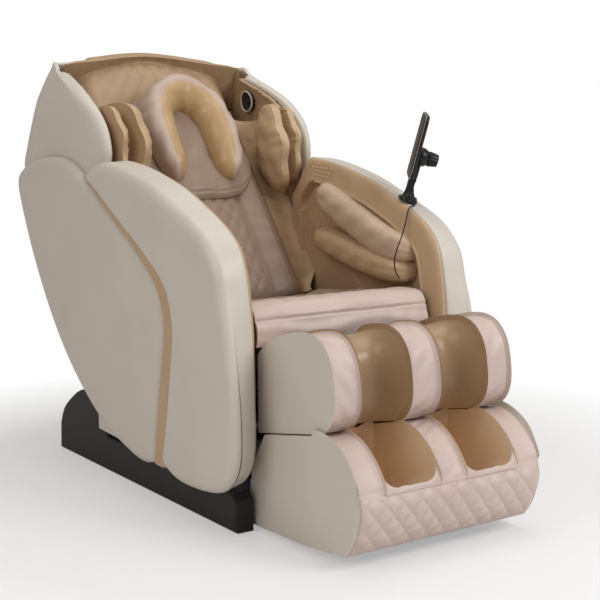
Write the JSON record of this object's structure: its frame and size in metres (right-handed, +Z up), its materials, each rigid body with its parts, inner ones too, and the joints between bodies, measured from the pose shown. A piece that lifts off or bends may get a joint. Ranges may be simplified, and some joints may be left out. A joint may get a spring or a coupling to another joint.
{
  "type": "massage chair",
  "caption": "Reclining massage chair with a tilting seat unit, hooded back, padded arms, lifting leg rest with sliding foot wells, and a touch controller on a stand.",
  "frame": {"origin": "on the floor, in the middle of the chair from side to side, under the front half of the seat", "axes": "+Z up, the sitter faces -Y, +X is the sitter's left"},
  "size_m": [0.7738, 1.6324, 1.17],
  "materials": {
    "black_plastic": "fine grain",
    "bright_steel": "polished",
    "brown_leather": "soft, satin",
    "cream_leather": "smooth, satin",
    "gloss_black_plastic": "polished",
    "golden_leather": "smooth, glossy",
    "grey_plastic": "moulded",
    "painted_steel": "satin black paint",
    "rose_leather": "soft, satin",
    "rubber": "matte",
    "tan_leather": "smooth, satin"
  },
  "bodies": {
    "base": {"air_pump": "grey_plastic", "base_cover": "black_plastic", "base_frame": "painted_steel", "control_box": "grey_plastic", "power_inlet": "black_plastic"},
    "seat_unit": {"arm_liner_left": "tan_leather", "arm_liner_right": "tan_leather", "arm_shell_left": "cream_leather", "arm_shell_right": "cream_leather", "controller_cord": "black_plastic", "forearm_pad_lower_left": "tan_leather", "forearm_pad_lower_right": "tan_leather", "forearm_pad_upper_left": "rose_leather", "forearm_pad_upper_right": "rose_leather", "seat_cushion": "rose_leather", "seat_flap": "rose_leather", "seat_frame": "painted_steel", "side_panel_left": "cream_leather", "side_panel_right": "cream_leather", "side_stripe_left": "tan_leather", "side_stripe_right": "tan_leather", "stand_base": "gloss_black_plastic"},
    "backrest": {"back_cushion": "brown_leather", "back_frame": "painted_steel", "head_pad": "brown_leather", "hood_liner": "tan_leather", "hood_shell": "cream_leather", "lower_back_cover": "black_plastic", "neck_pillow": "rose_leather", "shoulder_pad_left": "tan_leather", "shoulder_pad_right": "tan_leather", "speaker_left": "black_plastic", "speaker_right": "black_plastic"},
    "calf_section": {"calf_frame": "painted_steel", "calf_trough": "golden_leather", "calf_wall_centre": "rose_leather", "calf_wall_left": "rose_leather", "calf_wall_right": "rose_leather"},
    "knob_turn": {"clamp_knob": "black_plastic"},
    "foot_section": {"foot_frame": "painted_steel", "foot_wall_centre": "rose_leather", "foot_wall_left": "rose_leather", "foot_wall_right": "rose_leather", "foot_well": "golden_leather", "toe_panel": "rose_leather"},
    "rollers": {"kneading_rollers": "grey_plastic"},
    "leg_lift_rod": {"leg_lift_rod": "bright_steel"},
    "leg_lift_tube": {"leg_lift_tube": "black_plastic"},
    "carriage": {"massage_carriage": "painted_steel"},
    "switch": {"power_switch": "gloss_black_plastic"},
    "recline_rod": {"recline_rod": "bright_steel"},
    "recline_tube": {"recline_tube": "black_plastic"},
    "seat_lift_rod": {"seat_lift_rod": "bright_steel"},
    "seat_lift_tube": {"seat_lift_tube": "black_plastic"},
    "sole_roller": {"sole_roller": "grey_plastic"},
    "stand_swivel": {"stand_post": "black_plastic"},
    "tablet_tilt": {"tablet": "gloss_black_plastic"},
    "wheel_left": {"transport_wheel_left": "rubber"},
    "wheel_right": {"transport_wheel_right": "rubber"}
  },
  "joints": [
    {"name": "seat_tilt", "type": "hinge", "parent": "base", "child": "seat_unit", "pos_m": [0, 0.43, 0.13], "axis": [-1, 0, 0], "range_deg": [0, 15]},
    {"name": "recline", "type": "hinge", "parent": "seat_unit", "child": "backrest", "pos_m": [0, 0.1, 0.45], "axis": [-1, 0, 0], "range_deg": [0, 40]},
    {"name": "leg_lift", "type": "hinge", "parent": "seat_unit", "child": "calf_section", "pos_m": [0, -0.392, 0.462], "axis": [-1, 0, 0], "range_deg": [0, 80]},
    {"name": "foot_slide", "type": "slide", "parent": "calf_section", "child": "foot_section", "axis": [0, -0.184, -0.9829], "range_m": [0, 0.12]},
    {"name": "carriage_travel", "type": "slide", "parent": "backrest", "child": "carriage", "axis": [0, 0.6018, 0.7986], "range_m": [-0.105, 0.34]},
    {"name": "kneading", "type": "hinge", "parent": "carriage", "child": "rollers", "pos_m": [0, 0.3818, 0.66459], "axis": [-1, 0, 0], "range_deg": [-8, 8]},
    {"name": "stand_turn", "type": "hinge", "parent": "seat_unit", "child": "stand_swivel", "pos_m": [0.31823, -0.21395, 0.77631], "axis": [0.0847, -0.2036, 0.9754], "range_deg": [-60, 60]},
    {"name": "tablet_tilt", "type": "hinge", "parent": "stand_swivel", "child": "tablet_tilt", "pos_m": [0.32124, -0.22118, 0.81093], "axis": [0.5736, 0.8191, 0], "range_deg": [-20, 30]},
    {"name": "clamp_knob_turn", "type": "hinge", "parent": "tablet_tilt", "child": "knob_turn", "pos_m": [0.35657, -0.24592, 0.87644], "axis": [0.7948, -0.5565, -0.2419], "range_deg": [0, 270]},
    {"name": "switch_rock", "type": "hinge", "parent": "base", "child": "switch", "pos_m": [0.096, 0.621, 0.0485], "axis": [-1, 0, 0], "range_deg": [-8, 8]},
    {"name": "wheel_right_spin", "type": "hinge", "parent": "base", "child": "wheel_right", "pos_m": [-0.24, 0.645, 0.032], "axis": [-1, 0, 0], "continuous": true},
    {"name": "wheel_left_spin", "type": "hinge", "parent": "base", "child": "wheel_left", "pos_m": [0.24, 0.645, 0.032], "axis": [-1, 0, 0], "continuous": true},
    {"name": "sole_roller_spin", "type": "hinge", "parent": "foot_section", "child": "sole_roller", "pos_m": [0, -0.585, 0.046], "axis": [-1, 0, 0], "continuous": true},
    {"name": "seat_lift_swing", "type": "hinge", "parent": "base", "child": "seat_lift_tube", "pos_m": [0, 0.15, 0.062], "axis": [-1, 0, 0], "range_deg": [0, 21.2]},
    {"name": "seat_lift_stroke", "type": "slide", "parent": "seat_lift_tube", "child": "seat_lift_rod", "axis": [0, -0.881, 0.4732], "range_m": [0, 0.06]},
    {"name": "recline_swing", "type": "hinge", "parent": "seat_unit", "child": "recline_tube", "pos_m": [-0.09, -0.18, 0.29], "axis": [-1, 0, 0], "range_deg": [0, 1.8]},
    {"name": "recline_stroke", "type": "slide", "parent": "recline_tube", "child": "recline_rod", "axis": [0, 0.988, 0.1544], "range_m": [-0.0868, 0]},
    {"name": "leg_lift_swing", "type": "hinge", "parent": "seat_unit", "child": "leg_lift_tube", "pos_m": [0.09, 0.03, 0.215], "axis": [-1, 0, 0], "range_deg": [0, 9]},
    {"name": "leg_lift_stroke", "type": "slide", "parent": "leg_lift_tube", "child": "leg_lift_rod", "axis": [0, -0.974, 0.2265], "range_m": [0, 0.1725]}
  ],
  "couplings": [
    {"joint": "seat_lift_swing", "follows": "seat_tilt", "ratio": 1.41},
    {"joint": "seat_lift_stroke", "follows": "seat_tilt", "m_per_rad": 0.2284},
    {"joint": "recline_swing", "follows": "recline", "ratio": 0.0447},
    {"joint": "recline_stroke", "follows": "recline", "m_per_rad": -0.1239},
    {"joint": "leg_lift_swing", "follows": "leg_lift", "ratio": 0.11125},
    {"joint": "leg_lift_stroke", "follows": "leg_lift", "m_per_rad": 0.1227}
  ]
}
